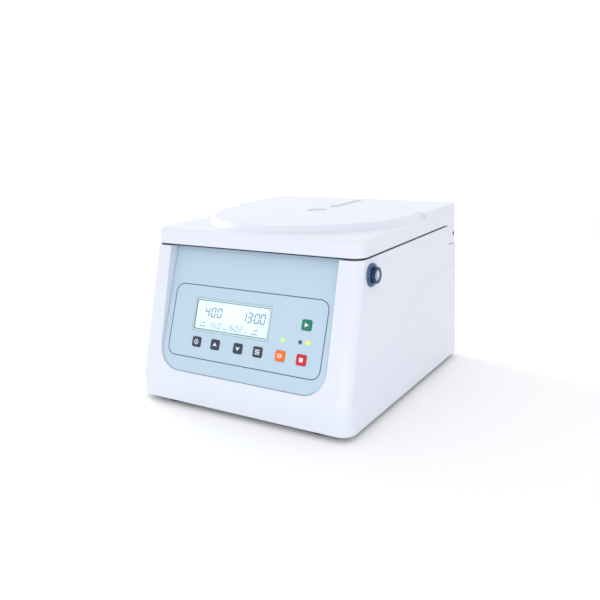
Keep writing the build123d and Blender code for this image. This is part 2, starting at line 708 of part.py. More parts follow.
def lid_shell():
    low = BASE_TOP + SEAM
    body = lid_block() - Pos(0, 0, low) * extrude(lid_plan(WALL), amount=LID_LOW - WALL - low)
    body -= raised_form(WALL + 4, LID_LOW - WALL - 1, LID_CEILING, 3)

    body += post(0, AXIS_Y, (LID_LOW - 4, LID_TOP - 1), 20)
    rib = block((-RIB_W / 2, RIB_W / 2), RIB_Y, (LID_TOP - 3, LID_TOP + RIB_H))
    rib = fillet(rib.edges().filter_by(Axis.Z), RIB_W / 2 - 0.1)
    body += soften(rib, rib.edges().group_by(Axis.Z)[-1], 0.8)
    for x, y in LINER_SCREWS:
        ceiling = LID_CEILING if y > 0 else LID_LOW - 2
        body += post(x, y, (LINER_Z + LINER_T, ceiling + 1), 4.5)
    right = ear()
    body += right + mirrored(right)

    for x, y in LINER_SCREWS:
        body -= post(x, y, (LINER_Z, LID_LOW - 6), 1.5)
    body -= post(0, AXIS_Y, (180, LID_TOP + 5), PORT_R)
    bores = rod_x(PIN_Y, PIN_Z, (EAR_X - 1, 141), 5) + rod_x(PIN_Y, PIN_Z, (140, 150), PIN_R + 0.35)
    return body - bores - mirrored(bores)


def lid_liner():
    plate = Pos(0, 0, LINER_Z) * extrude(lid_plan(WALL + 0.3), amount=LINER_T)
    corner = block((EAR_X - 0.5, 150), (129, 170), (LINER_Z - 1, LINER_Z + 5))
    plate -= corner + mirrored(corner)
    plate -= post(0, AXIS_Y, (180, 200), 14)
    for x, y in LINER_SCREWS:
        plate -= post(x, y, (180, 200), 1.5)
    return plate


def liner_screws():
    group = Part()
    for x, y in LINER_SCREWS:
        group += Pos(x, y, LINER_Z) * Rot(180, 0, 0) * screw(3, 1.4, 1.5, 9)
    return group


def lid_seal():
    """Black strip under the lid's rim, along the front and both sides."""
    low = BASE_TOP + SEAM
    strip = extrude(lid_plan(1.4), amount=1.5) - extrude(lid_plan(WALL - 0.2), amount=1.5)
    strip &= block((-200, 200), (-200, 127), (-1, 5))
    return Pos(0, 0, low - 1.5) * strip


def port_ring():
    ring = post(0, AXIS_Y, (LID_LOW - 2, LID_TOP - 1.0), PORT_R, PORT_WINDOW_R)
    return soften(ring, ring.edges().group_by(Axis.Z)[-1], 0.6)


def port_window():
    return post(0, AXIS_Y, (LID_TOP - 2.4, LID_TOP - 1.5), PORT_WINDOW_R)


def hinge_bush():
    return rod_x(PIN_Y, PIN_Z, (EAR_X, 141), 5, PIN_R + 0.05)


def hinge_pin():
    """A plain pin with a hexagon socket in its outer end."""
    outer = LID_W / 2 - 0.4
    socket = Pos(outer, PIN_Y, PIN_Z) * Rot(0, 90, 0) * extrude(RegularPolygon(1.8, 6), amount=2, both=True)
    return rod_x(PIN_Y, PIN_Z, (122, outer), PIN_R) - socket


def hinge_bracket():
    """Steel angle inside the base that carries a hinge pin."""
    plate = block((126, 129.9), (141, 164), (150, 180.5))
    plate += block((106, 129.9), (141, 157), (177, 180.9))
    return plate - rod_x(PIN_Y, PIN_Z, (120, 135), PIN_R)


def lid_striker():
    """A steel loop under the lid that the lock's cam hooks."""
    y = (STRIKER_Y, STRIKER_Y + 4)
    loop = block((124, 136), y, (158, 162)) + block((124, 127), y, (158, 187)) + block((133, 136), y, (158, 187))
    return loop + block((118, 139), (y[0] - 4, y[1] + 4), (186, LINER_Z))


# ---------------------------------------------------------------- lock
def lock_flange():
    """A stepped collar with a sleeve through the base's side."""
    collar = rod_x(LOCK_Y, LOCK_Z, (LOCK_SEAT, LOCK_SEAT + 2.2), 13.1)
    collar = soften(collar, collar.edges().group_by(Axis.X)[-1], 0.8)
    step = rod_x(LOCK_Y, LOCK_Z, (LOCK_SEAT, LOCK_SEAT + 3.6), 11.4)
    collar += soften(step, step.edges().group_by(Axis.X)[-1], 0.8)
    sleeve = rod_x(LOCK_Y, LOCK_Z, (138, LOCK_SEAT + 1), 11)
    return collar + sleeve - rod_x(LOCK_Y, LOCK_Z, (130, 160), LOCK_R + 0.05)


def lock_nut():
    hexagon = extrude(RegularPolygon(13.4, 6), amount=1.2, both=True)
    nut = Pos(139.4, LOCK_Y, LOCK_Z) * Rot(0, 90, 0) * hexagon
    return nut - rod_x(LOCK_Y, LOCK_Z, (130, 150), 11)


def lock_knob():
    """A round knob with a dished face and a slot for a coin."""
    barrel = rod_x(LOCK_Y, LOCK_Z, (137.2, LOCK_FACE), LOCK_R)
    barrel = soften(barrel, barrel.edges().group_by(Axis.X)[-1], 0.9)
    hollow = Pos(LOCK_FACE + 12.2, LOCK_Y, LOCK_Z) * Sphere(14)
    grip = block((LOCK_FACE - 4.5, LOCK_FACE + 2), (LOCK_Y - 0.8, LOCK_Y + 0.8), (LOCK_Z - 4, LOCK_Z + 4))
    return barrel - hollow - grip + rod_x(LOCK_Y, LOCK_Z, (128.5, 138), 5)


def lock_cam():
    cam = rod_x(LOCK_Y, LOCK_Z, (128.5, 131.5), 7.5)
    cam += block((128.5, 131.5), (LOCK_Y - 3.5, LOCK_Y + 3.5), (LOCK_Z, LOCK_Z + 12.5))
    return cam - rod_x(LOCK_Y, LOCK_Z, (120, 140), 5)


def lid_switch():
    """Safety switch that feels the striker."""
    near = STRIKER_Y + 10
    body = block((124, 136), (near, near + 20), (160, 176))
    body += block((127, 133), (near + 4, near + 16), (176, BASE_TOP - DECK))
    return body + block((126, 134), (near - 1.2, near), (164, 175))


# ---------------------------------------------------------------- write the parts
save("base_shell", base_shell())
save("base_plate", base_plate())
for name, place in zip(("foot_front_left", "foot_front_right", "foot_rear_left", "foot_rear_right"), FEET):
    save(name, foot(*place))
save("case_screws", case_screws())
save("front_panel", front_panel())
for name, place in KEYS.items():
    save(name, key(*place))
for name, place in LEDS.items():
    save(name, led(*place))
save("lcd_window", lcd_window())
save("lcd_module", lcd_module())
save("control_board", control_board())
save("board_screws", board_screws())
save("chamber_bowl", chamber_bowl())
save("chamber_gasket", chamber_gasket())
save("motor_plate", motor_plate())
save("motor_posts", motor_posts())
save("rubber_dampers", rubber_dampers())
save("motor_housing", motor_housing())
save("motor_stator", motor_stator())
save("motor_magnets", motor_magnets())
save("motor_bearings", motor_bearings())
save("drive_shaft", drive_shaft())
save("rotor_head", rotor_head())
save("tube_sleeves", tube_sleeves())
save("rotor_nut", rotor_nut())
save("power_board", power_board())
save("power_components", power_components())
save("rear_panel", rear_panel())
save("inlet_module", inlet_module())
save("inlet_pins", inlet_pins())
save("fuse_drawer", fuse_drawer())
save("power_rocker", power_rocker())
save("lid_shell", lid_shell())
save("lid_liner", lid_liner())
save("liner_screws", liner_screws())
save("lid_seal", lid_seal())
save("port_ring", port_ring())
save("port_window", port_window())
save("lid_striker", lid_striker())
for side, flip in (("right", False), ("left", True)):
    for name, make in (("hinge_bush", hinge_bush), ("hinge_pin", hinge_pin), ("hinge_bracket", hinge_bracket)):
        save(f"{name}_{side}", mirrored(make()) if flip else make())
save("lock_flange", lock_flange())
save("lock_nut", lock_nut())
save("lock_knob", lock_knob())
save("lock_cam", lock_cam())
save("lid_switch", lid_switch())
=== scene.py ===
"""Looks of a bench-top laboratory centrifuge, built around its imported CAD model."""

import json
from math import cos, pi, radians, sin, tan

import bmesh
import bpy
from mathutils import Matrix, Vector


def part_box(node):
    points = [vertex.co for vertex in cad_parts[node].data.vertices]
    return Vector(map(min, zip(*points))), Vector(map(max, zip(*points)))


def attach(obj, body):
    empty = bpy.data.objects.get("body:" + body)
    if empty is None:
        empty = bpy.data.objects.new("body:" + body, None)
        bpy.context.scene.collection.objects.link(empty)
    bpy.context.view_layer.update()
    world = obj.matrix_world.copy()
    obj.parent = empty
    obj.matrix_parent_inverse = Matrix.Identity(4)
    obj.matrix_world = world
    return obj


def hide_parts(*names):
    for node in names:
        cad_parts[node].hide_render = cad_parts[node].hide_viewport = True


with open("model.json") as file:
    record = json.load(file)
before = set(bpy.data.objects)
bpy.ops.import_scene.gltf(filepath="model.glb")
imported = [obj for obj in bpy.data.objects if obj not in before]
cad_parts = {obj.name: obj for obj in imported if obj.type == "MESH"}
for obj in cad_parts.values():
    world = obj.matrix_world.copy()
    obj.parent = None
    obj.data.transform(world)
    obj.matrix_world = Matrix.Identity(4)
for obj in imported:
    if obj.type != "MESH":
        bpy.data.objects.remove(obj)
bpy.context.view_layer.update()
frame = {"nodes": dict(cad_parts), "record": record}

MM = 0.001

# ---------------------------------------------------------------- places taken from the CAD (mm)
FOOT_H = 6.5
AXIS_Y = 33.0                   # upright axis of the rotor
LOCK_Y = -102.0                 # axis of the lid lock, which runs along x
LOCK_Z = 166.6 + FOOT_H

# the control panel: the foot of its face, its lean, and places on it as (across, up the slope)
PANEL_Y = -164.2
PANEL_Z = 39.0 + FOOT_H
PANEL_LEAN = radians(19.83)
LCD_X = (-76.0, 35.0)
LCD_S = (52.0, 92.0)
GLASS_FACE = 0.2                # how far the display window stands out of it
KEY_FACE = 0.8                  # how far the keys stand out of it
KEYS = {
    "key_set": (-65.8, 38.4),
    "key_up": (-37.7, 38.4),
    "key_down": (-4.3, 38.4),
    "key_mode": (23.7, 38.4),
    "key_pulse": (54.5, 38.4),
    "key_stop": (82.5, 38.0),
    "key_start": (83.1, 77.0),
}
LEDS = {
    "led_ready": ("led_green", 54.7, 56.9),
    "led_run": ("led_dark", 77.8, 57.2),
    "led_lid": ("led_amber", 87.5, 57.8),
}

ROTOR_PLACES = 6
DISH_R = 22.0                   # where the rotor's dished top starts to rise
DISH_TILT = radians(38.0)
DISH_Z = 153.0 - 18.0 * tan(DISH_TILT)
ROCKER_PIVOT_Y = 161.0          # the power switch: its pivot, its lean at rest and its face
ROCKER_Z = 62.0
ROCKER_LEAN = radians(-10.0)
ROCKER_FACE = 4.12

# ---------------------------------------------------------------- printed marks (mm)
INK = 0.06                      # thickness of print on plastic and metal
FINE_INK = 0.05                 # thickness of the display's segments and the keys' symbols
NUMBER_REACH = 13.0             # the rotor's numbers sit this far up its dish
NUMBER_SIZE = 5.0
ROCKER_MARK_S = 5.0             # the switch's marks sit this far above and below its pivot

# ---------------------------------------------------------------- staging (m)
CAMERA_PLACE = (0.47418, -0.77727, 0.34288)
CAMERA_AZIMUTH = radians(31.97)
CAMERA_ELEVATION = radians(14.65)
CAMERA_ROLL = radians(-1.886)
FLOOR_R = 1.7
FLOOR_T = 0.02


# ---------------------------------------------------------------- camera and light
def set_camera():
    level = cos(CAMERA_ELEVATION)
    back = Vector((sin(CAMERA_AZIMUTH) * level, -cos(CAMERA_AZIMUTH) * level, sin(CAMERA_ELEVATION)))
    side = Vector((cos(CAMERA_AZIMUTH), sin(CAMERA_AZIMUTH), 0.0))
    up = back.cross(side)
    right = side * cos(CAMERA_ROLL) + up * sin(CAMERA_ROLL)
    top = up * cos(CAMERA_ROLL) - side * sin(CAMERA_ROLL)
    data = bpy.data.cameras.new("camera")
    data.lens = 42.45
    data.sensor_width = 36.0
    data.clip_start = 0.01
    camera = bpy.data.objects.new("camera", data)
    bpy.context.scene.collection.objects.link(camera)
    rotation = Matrix((right, top, back)).transposed().to_4x4()
    camera.matrix_world = Matrix.Translation(CAMERA_PLACE) @ rotation
    bpy.context.scene.camera = camera


def soft_light(name, place, aim, size, power):
    """A white rectangular lamp at place, facing aim."""
    data = bpy.data.lights.new(name, "AREA")
    data.shape = "RECTANGLE"
    data.size = size[0]
    data.size_y = size[1]
    data.energy = power
    light = bpy.data.objects.new(name, data)
    bpy.context.scene.collection.objects.link(light)
    direction = Vector(aim) - Vector(place)
    light.matrix_world = Matrix.Translation(place) @ direction.to_track_quat("-Z", "Y").to_matrix().to_4x4()


def set_world(strength, tilt):
    """A white surround, a little brighter towards the direction tilt."""
    world = bpy.data.worlds.new("studio")
    world.use_nodes = True
    background = world.node_tree.nodes["Background"]
    background.inputs["Color"].default_value = (1.0, 1.0, 1.0, 1.0)
    nodes = world.node_tree.nodes
    links = world.node_tree.links
    direction = nodes.new("ShaderNodeTexCoord").outputs["Generated"]
    slope = nodes.new("ShaderNodeVectorMath")
    slope.operation = "DOT_PRODUCT"
    slope.inputs[1].default_value = tilt
    links.new(direction, slope.inputs[0])
    level = nodes.new("ShaderNodeMath")
    level.operation = "ADD"
    level.inputs[1].default_value = strength
    links.new(slope.outputs["Value"], level.inputs[0])
    links.new(level.outputs[0], background.inputs["Strength"])
    bpy.context.scene.world = world


# ---------------------------------------------------------------- materials
def linear(rgb):
    """An sRGB colour from 0 to 255 as the linear RGBA that shaders take."""
    parts = [c / 255 for c in rgb]
    return tuple([c / 12.92 if c <= 0.04045 else ((c + 0.055) / 1.055) ** 2.4 for c in parts] + [1.0])


class Look:
    """A node material under construction: one Principled shader and the nodes that feed it."""

    def __init__(self, name):
        self.material = bpy.data.materials.new("look_" + name)
        self.material.use_nodes = True
        self.tree = self.material.node_tree
        self.shader = self.tree.nodes["Principled BSDF"]
        self.place = self.node("ShaderNodeTexCoord").outputs["Object"]

    def node(self, kind, **settings):
        made = self.tree.nodes.new(kind)
        for key, value in settings.items():
            setattr(made, key, value)
        return made

    def link(self, a, b):
        self.tree.links.new(a, b)

    def set(self, **values):
        for key, value in values.items():
            self.shader.inputs[key.replace("_", " ")].default_value = value

    def stretched(self, scale):
        """Object coordinates scaled by a different amount on each axis."""
        mapping = self.node("ShaderNodeMapping")
        mapping.inputs["Scale"].default_value = scale
        self.link(self.place, mapping.inputs["Vector"])
        return mapping.outputs["Vector"]

    def round_place(self, fine, along):
        """Coordinates that follow turning marks about the rotor's axis."""
        split = self.node("ShaderNodeSeparateXYZ")
        self.link(self.place, split.inputs[0])
        y = self.maths("SUBTRACT", split.outputs["Y"], AXIS_Y * MM)
        x2 = self.maths("MULTIPLY", split.outputs["X"], split.outputs["X"])
        y2 = self.maths("MULTIPLY", y, y)
        radius = self.maths("SQRT", self.maths("ADD", x2, y2), 0.0)
        turn = self.maths("ARCTAN2", y, split.outputs["X"])
        joined = self.node("ShaderNodeCombineXYZ")
        self.link(self.maths("MULTIPLY", radius, fine), joined.inputs["X"])
        self.link(self.maths("MULTIPLY", turn, along), joined.inputs["Y"])
        self.link(self.maths("MULTIPLY", split.outputs["Z"], fine), joined.inputs["Z"])
        return joined.outputs["Vector"]

    def maths(self, operation, a, b):
        """A sum or other operation on two values, each a number or a socket."""
        node = self.node("ShaderNodeMath", operation=operation)
        for socket, value in zip(node.inputs, (a, b)):
            if isinstance(value, (int, float)):
                socket.default_value = value
            else:
                self.link(value, socket)
        return node.outputs[0]

    def noise(self, scale, detail=3.0, vector=None):
        node = self.node("ShaderNodeTexNoise")
        node.inputs["Scale"].default_value = scale
        node.inputs["Detail"].default_value = detail
        self.link(vector or self.place, node.inputs["Vector"])
        return node.outputs["Fac"]

    def spread(self, value, low, high, start=0.3, end=0.7):
        """Map start..end, by default a texture's middle range, to low..high."""
        node = self.node("ShaderNodeMapRange")
        node.inputs["From Min"].default_value = start
        node.inputs["From Max"].default_value = end
        node.inputs["To Min"].default_value = low
        node.inputs["To Max"].default_value = high
        self.link(value, node.inputs["Value"])
        return node.outputs["Result"]

    def blend(self, factor, a, b):
        """A mix of two colours, each a tuple or a socket."""
        node = self.node("ShaderNodeMix", data_type="RGBA")
        self.link(factor, node.inputs["Factor"])
        for socket, value in ((node.inputs[6], a), (node.inputs[7], b)):
            if isinstance(value, tuple):
                socket.default_value = value
            else:
                self.link(value, socket)
        return node.outputs[2]

    def colour(self, factor, a, b):
        mixed = self.blend(factor, a, b)
        self.link(mixed, self.shader.inputs["Base Color"])
        return mixed

    def roughness(self, value, low, high):
        self.link(self.spread(value, low, high), self.shader.inputs["Roughness"])

    def bumps(self, height, distance, strength):
        """Relief from a texture; the distance is in metres."""
        node = self.node("ShaderNodeBump")
        node.inputs["Strength"].default_value = strength
        node.inputs["Distance"].default_value = distance
        self.link(height, node.inputs["Height"])
        self.link(node.outputs["Normal"], self.shader.inputs["Normal"])


def shade(rgba, factor):
    """A lighter or darker version of a linear colour."""
    return tuple([min(1.0, c * factor) for c in rgba[:3]] + [1.0])


def moulded(name, rgb, rough=0.32, grain=1400.0, depth=0.000006, coat=0.0):
    """Moulded plastic or paint: fine grain, slow drift in shade and gloss."""
    look = Look(name)
    base = linear(rgb)
    slow = look.noise(9.0, 4.0)
    fine = look.noise(grain, 2.0)
    look.colour(look.spread(slow, 0.0, 1.0), shade(base, 0.985), base)
    look.roughness(look.noise(60.0, 3.0), rough - 0.05, rough + 0.06)
    look.bumps(fine, depth, 0.25)
    look.set(IOR=1.5, Coat_Weight=coat, Coat_Roughness=0.12)
    return look.material


def brushed(name, rgb, rough=0.28):
    """Metal with fine level lines."""
    look = Look(name)
    base = linear(rgb)
    lines = look.noise(1.0, 3.0, look.stretched((40.0, 40.0, 2600.0)))
    look.colour(look.spread(lines, 0.0, 1.0), shade(base, 0.86), base)
    look.roughness(lines, rough - 0.08, rough + 0.12)
    look.bumps(lines, 0.00002, 0.6)
    look.set(Metallic=1.0)
    return look.material


def turned(name, rgb, rough=0.25, fine=1800.0):
    """Metal with turning marks about the rotor axis."""
    look = Look(name)
    base = linear(rgb)
    marks = look.noise(1.0, 2.0, look.round_place(fine, 3.0))
    slow = look.noise(14.0, 3.0)
    look.colour(look.spread(slow, 0.0, 1.0), shade(base, 0.93), base)
    look.roughness(marks, rough - 0.07, rough + 0.1)
    look.bumps(marks, 0.00002, 0.5)
    look.set(Metallic=1.0)
    return look.material


def glowing(name, rgb, power=0.8, rough=0.2):
    """A lit lens or screen."""
    look = Look(name)
    base = linear(rgb)
    slow = look.noise(700.0, 2.0)
    mixed = look.colour(look.spread(slow, 0.0, 1.0), shade(base, 0.94), base)
    look.link(mixed, look.shader.inputs["Emission Color"])
    look.roughness(look.noise(300.0), rough - 0.05, rough + 0.05)
    look.set(Emission_Strength=power)
    return look.material


def clear(name, rgb, rough=0.04, weight=1.0):
    """Glass or clear plastic with faint unevenness."""
    look = Look(name)
    base = linear(rgb)
    slow = look.noise(30.0, 2.0)
    look.colour(look.spread(slow, 0.0, 1.0), shade(base, 0.98), base)
    look.roughness(look.noise(120.0), max(0.0, rough - 0.02), rough + 0.02)
    look.set(IOR=1.49, Transmission_Weight=weight)
    return look.material


def chrome_with_painted_reflections(name, face, ring, rim):
    """Polished metal about the lock's axis, with painted reflections: a painted bright reflection in the
    dish of its face, a painted dark reflection on the ring around it and a mid-tone painted reflection on
    the rim.
    """
    look = Look(name)
    split = look.node("ShaderNodeSeparateXYZ")
    look.link(look.place, split.inputs[0])
    y = look.maths("SUBTRACT", split.outputs["Y"], LOCK_Y * MM)
    z = look.maths("SUBTRACT", split.outputs["Z"], LOCK_Z * MM)
    squares = look.maths("ADD", look.maths("MULTIPLY", y, y), look.maths("MULTIPLY", z, z))
    radius = look.maths("SQRT", squares, 0.0)
    # masks by distance from the lock's axis that place the painted reflections of face, ring and rim
    inner = look.spread(radius, 0.0, 1.0, 0.0035, 0.0065)
    outer = look.spread(radius, 0.0, 1.0, 0.0092, 0.0118)
    mixed = look.blend(inner, linear(face), linear(ring))
    look.colour(outer, mixed, linear(rim))
    marks = look.noise(1.0, 2.0, look.stretched((900.0, 60.0, 60.0)))
    look.roughness(marks, 0.16 - 0.05, 0.16 + 0.08)
    look.bumps(marks, 0.000004, 0.5)
    look.set(Metallic=0.85)
    return look.material


def rubber(name, rgb):
    """Matt black or grey rubber, slightly dusty."""
    look = Look(name)
    base = linear(rgb)
    grain = look.noise(2200.0, 2.0)
    slow = look.noise(40.0, 4.0)
    look.colour(look.spread(slow, 0.0, 1.0), base, shade(base, 1.5))
    look.roughness(slow, 0.75 - 0.1, 0.75 + 0.1)
    look.bumps(grain, 0.00008, 0.7)
    look.set(IOR=1.52)
    return look.material


def circuit(name, rgb):
    """A solder-masked board with the faint relief of its copper tracks."""
    look = Look(name)
    base = linear(rgb)
    brick = look.node("ShaderNodeTexBrick")
    brick.inputs["Scale"].default_value = 90.0
    brick.inputs["Mortar Size"].default_value = 0.06
    look.link(look.place, brick.inputs["Vector"])
    look.colour(brick.outputs["Fac"], base, shade(base, 1.9))
    look.roughness(look.noise(90.0), 0.25, 0.4)
    look.bumps(brick.outputs["Fac"], 0.00004, 0.5)
    return look.material


def winding(name, rgb):
    """Enamelled copper wire laid side by side, with painted shade in the grooves between the turns."""
    look = Look(name)
    base = linear(rgb)
    wave = look.node("ShaderNodeTexWave", bands_direction="Z")
    wave.inputs["Scale"].default_value = 260.0
    wave.inputs["Distortion"].default_value = 1.5
    look.link(look.place, wave.inputs["Vector"])
    # painted shade: the colour darkens to half in the grooves between the turns
    look.colour(wave.outputs["Fac"], shade(base, 0.5), base)
    look.roughness(look.noise(200.0), 0.25, 0.4)
    look.bumps(wave.outputs["Fac"], 0.0002, 0.8)
    look.set(Metallic=0.7)
    return look.material


def printed(name, rgb):
    """Screen-printed ink, slightly uneven."""
    look = Look(name)
    base = linear(rgb)
    look.colour(look.spread(look.noise(900.0, 2.0), 0.0, 1.0), shade(base, 0.9), base)
    look.roughness(look.noise(400.0), 0.4 - 0.06, 0.4 + 0.06)
    look.bumps(look.noise(3000.0), 0.00001, 0.4)
    return look.material


# every look: its maker, its colour and what differs from the usual settings
LOOKS = {
    "shell_white": (moulded, (221, 226, 238), dict(rough=0.34, coat=0.15)),
    "panel_blue": (moulded, (184, 207, 224), dict(rough=0.45, grain=2600.0)),
    "lcd_glass": (clear, (236, 248, 252), {}),
    "lcd_screen": (glowing, (238, 247, 250), dict(power=0.45, rough=0.5)),
    "key_dark": (moulded, (44, 56, 76), dict(rough=0.45)),
    "key_orange": (moulded, (255, 108, 20), dict(rough=0.42)),
    "key_red": (moulded, (214, 6, 44), dict(rough=0.42)),
    "key_green": (moulded, (0, 126, 98), dict(rough=0.42)),
    "led_green": (glowing, (170, 235, 90), {}),
    "led_dark": (glowing, (40, 96, 112), dict(power=0.0)),
    "led_amber": (glowing, (255, 196, 70), {}),
    "rubber_black": (rubber, (24, 26, 30), {}),
    "rubber_grey": (rubber, (92, 98, 108), {}),
    "steel": (brushed, (196, 200, 206), {}),
    "bowl_steel": (turned, (206, 209, 214), dict(rough=0.24)),
    "dark_steel": (brushed, (104, 110, 120), dict(rough=0.34)),
    "back_plate": (moulded, (196, 202, 212), dict(rough=0.5, grain=1800.0, depth=0.00001)),
    # the chrome's three colours are painted reflections: a bright face, a dark ring and a mid-tone rim
    "chrome": (chrome_with_painted_reflections, (216, 226, 240), dict(ring=(42, 64, 98), rim=(92, 122, 154))),
    "aluminium": (turned, (172, 178, 186), dict(rough=0.36, fine=2600.0)),
    "liner_grey": (moulded, (206, 210, 218), dict(rough=0.5, grain=900.0, depth=0.00002)),
    "black_plastic": (moulded, (26, 28, 32), dict(rough=0.42, grain=1600.0, depth=0.00001)),
    "sleeve_plastic": (moulded, (62, 74, 96), dict(rough=0.4)),
    "window_frost": (clear, (236, 236, 252), dict(rough=0.3, weight=0.1)),
    "board_green": (circuit, (16, 92, 58), {}),
    "component_dark": (moulded, (42, 44, 50), dict(rough=0.45)),
    "copper": (winding, (190, 110, 62), {}),
    "bronze": (turned, (150, 116, 70), dict(rough=0.4)),
    "ink_slate": (printed, (84, 103, 124), {}),
    "ink_white": (printed, (244, 247, 250), {}),
    "ink_black": (printed, (30, 34, 42), {}),
    "lcd_ink": (printed, (120, 128, 158), {}),
    "lcd_edge": (printed, (205, 230, 235), {}),
}
looks = {name: make(name, rgb, **settings) for name, (make, rgb, settings) in LOOKS.items()}


def dress_cad_nodes():
    """Give every CAD node the detailed look of its material slot."""
    for part in frame["record"]["subparts"]:
        mesh = frame["nodes"][part["node"]].data
        look = looks[part["material_slot"]]
        for i in range(len(mesh.materials)):
            mesh.materials[i] = look
        if not mesh.materials:
            mesh.materials.append(look)


# ---------------------------------------------------------------- making pieces
def panel_place(x, s, n=0.0):
    """A place on the control panel: x across, s up the slope, n out of the face."""
    up = Vector((0.0, sin(PANEL_LEAN), cos(PANEL_LEAN)))
    out = Vector((0.0, -cos(PANEL_LEAN), sin(PANEL_LEAN)))
    across = Vector((1.0, 0.0, 0.0))
    origin = (Vector((0.0, PANEL_Y, PANEL_Z)) + across * x + up * s + out * n) * MM
    axes = Matrix((across, up, out)).transposed().to_4x4()
    return Matrix.Translation(origin) @ axes


def add_piece(name, mesh, place, body, look):
    """Link a mesh given in millimetres, put it in place and let it ride on a CAD body."""
    mesh.transform(Matrix.Scale(MM, 4))
    mesh.materials.clear()
    mesh.materials.append(looks[look])
    piece = bpy.data.objects.new(name, mesh)
    bpy.context.scene.collection.objects.link(piece)
    piece.matrix_world = place
    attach(piece, body)
    return piece


def flat_mesh(outlines, thickness):
    """A thin plate from closed (x, y) outlines; an outline inside another is a hole."""
    curve = bpy.data.curves.new("outline", "CURVE")
    curve.dimensions = "2D"
    curve.fill_mode = "BOTH"
    curve.extrude = thickness / 2
    for outline in outlines:
        spline = curve.splines.new("POLY")
        spline.points.add(len(outline) - 1)
        for point, (x, y) in zip(spline.points, outline):
            point.co = (x, y, 0.0, 1.0)
        spline.use_cyclic_u = True
    holder = bpy.data.objects.new("outline", curve)
    mesh = bpy.data.meshes.new_from_object(holder)
    bpy.data.objects.remove(holder)
    bpy.data.curves.remove(curve)
    mesh.transform(Matrix.Translation((0.0, 0.0, thickness / 2)))
    return mesh


def round_box(width, height, radius, steps=6, centre=(0.0, 0.0)):
    """The outline of a rectangle with rounded corners."""
    points = []
    for cx, cy, start in ((1, 1, 0), (-1, 1, 1), (-1, -1, 2), (1, -1, 3)):
        for i in range(steps + 1):
            angle = (start + i / steps) * pi / 2
            x = cx * (width / 2 - radius) + radius * cos(angle)
            y = cy * (height / 2 - radius) + radius * sin(angle)
            points.append((x + centre[0], y + centre[1]))
    return points


def circle(radius, steps=32, centre=(0.0, 0.0)):
    """The outline of a circle."""
    angles = [2 * pi * i / steps for i in range(steps)]
    return [(centre[0] + radius * cos(angle), centre[1] + radius * sin(angle)) for angle in angles]


def lathe(profile, steps=40):
    """A mesh turned about Z from an (r, z) profile."""
    work = bmesh.new()
    rings = []
    for radius, z in profile:
        if radius < 1e-6:
            rings.append([work.verts.new((0.0, 0.0, z))])
            continue
        rings.append([
            work.verts.new((radius * cos(2 * pi * i / steps), radius * sin(2 * pi * i / steps), z))
            for i in range(steps)
        ])
    for low, high in zip(rings, rings[1:]):
        for i in range(steps):
            j = (i + 1) % steps
            corners = [low[i % len(low)], low[j % len(low)], high[j % len(high)], high[i % len(high)]]
            work.faces.new(list(dict.fromkeys(corners)))
    bmesh.ops.recalc_face_normals(work, faces=work.faces)
    mesh = bpy.data.meshes.new("lathe")
    work.to_mesh(mesh)
    work.free()
    mesh.shade_smooth()
    return mesh


# ---------------------------------------------------------------- control panel details
def panel_line():
    """The printed line around the controls."""
    outer = round_box(217.5, 89.5, 12.0, 12)
    inner = round_box(215.1, 87.1, 10.8, 12)
    mesh = flat_mesh([outer, inner], INK)
    add_piece("panel_line", mesh, panel_place(-0.25, 62.75), "base", "ink_slate")


def seven_segment(digit, width, height, stroke, slant=0.12):
    """The strokes of a leaning seven-segment numeral, each a six-sided outline."""
    half = height / 2
    places = {
        "a": (0, half, 0), "g": (0, 0, 0), "d": (0, -half, 0),
        "f": (-width / 2, half / 2, 1), "b": (width / 2, half / 2, 1),
        "e": (-width / 2, -half / 2, 1), "c": (width / 2, -half / 2, 1),
    }
    lit = {
        0: "abcdef", 1: "bc", 2: "abged", 3: "abgcd", 4: "fgbc",
        5: "afgcd", 6: "afgedc", 7: "abc", 8: "abcdefg", 9: "abcdfg",
    }[digit]
    shapes = []
    for name in lit:
        x, y, upright = places[name]
        reach = (half if upright else width) / 2 - stroke * 0.08
        cut = stroke / 2
        inner = reach - cut
        bar = [(-reach, 0), (-inner, cut), (inner, cut), (reach, 0), (inner, -cut), (-inner, -cut)]
        if upright:
            bar = [(b, a) for a, b in bar]
        shapes.append([(x + a + slant * (y + b), y + b) for a, b in bar])
    return shapes


def shifted(outlines, x, y):
    """The same outlines, moved by (x, y)."""
    return [[(a + x, b + y) for a, b in outline] for outline in outlines]


